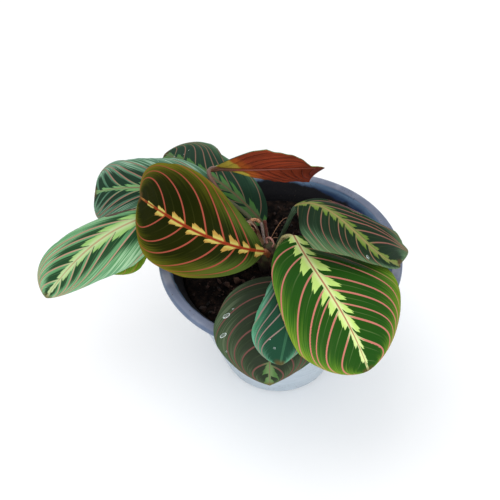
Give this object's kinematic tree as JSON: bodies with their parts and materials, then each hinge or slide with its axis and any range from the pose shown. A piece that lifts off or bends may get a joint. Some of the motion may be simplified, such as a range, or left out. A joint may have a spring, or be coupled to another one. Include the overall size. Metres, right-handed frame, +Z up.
{
  "type": "potted prayer plant",
  "caption": "Low house plant with broad, oval, boldly veined leaves arching out of soil in a small tapered pot with a flared rim.",
  "frame": {"origin": "centre of the pot's flat foot, on the surface it stands on", "axes": "+Z up along the pot's axis, the side that the picture looks from towards -Y, +X to that side's right"},
  "size_m": [0.2377, 0.1848, 0.1722],
  "materials": {
    "pot": "semi-gloss grey-blue with fine dark specks",
    "soil": "matt, near black, with brown bits",
    "crown": "satin brown and green sheaths",
    "leaf_front_right": "bright green leaf, semi-gloss",
    "leaf_back_right": "dark green-teal leaf, semi-gloss",
    "leaf_front_low": "dark grey-green leaf, semi-gloss",
    "leaf_front_middle": "teal-green leaf, semi-gloss",
    "leaf_centre": "dark olive leaf, semi-gloss",
    "leaf_far_left": "light sea-green leaf, semi-gloss",
    "leaf_upper_left": "dark teal leaf, semi-gloss",
    "leaf_back_long": "dark teal leaf, semi-gloss",
    "leaf_back_folded": "red-brown underside of a leaf, satin",
    "leaf_left_low": "olive-green leaf, semi-gloss",
    "dry_sheath": "matt, papery, tan"
  },
  "bodies": {
    "root": {"pot": "pot", "soil": "soil", "crown": "crown", "leaf_front_right": "leaf_front_right", "leaf_back_right": "leaf_back_right", "leaf_front_low": "leaf_front_low", "leaf_front_middle": "leaf_front_middle", "leaf_centre": "leaf_centre", "leaf_far_left": "leaf_far_left", "leaf_upper_left": "leaf_upper_left", "leaf_back_long": "leaf_back_long", "leaf_back_folded": "leaf_back_folded", "leaf_left_low": "leaf_left_low", "dry_sheath": "dry_sheath"}
  },
  "joints": []
}
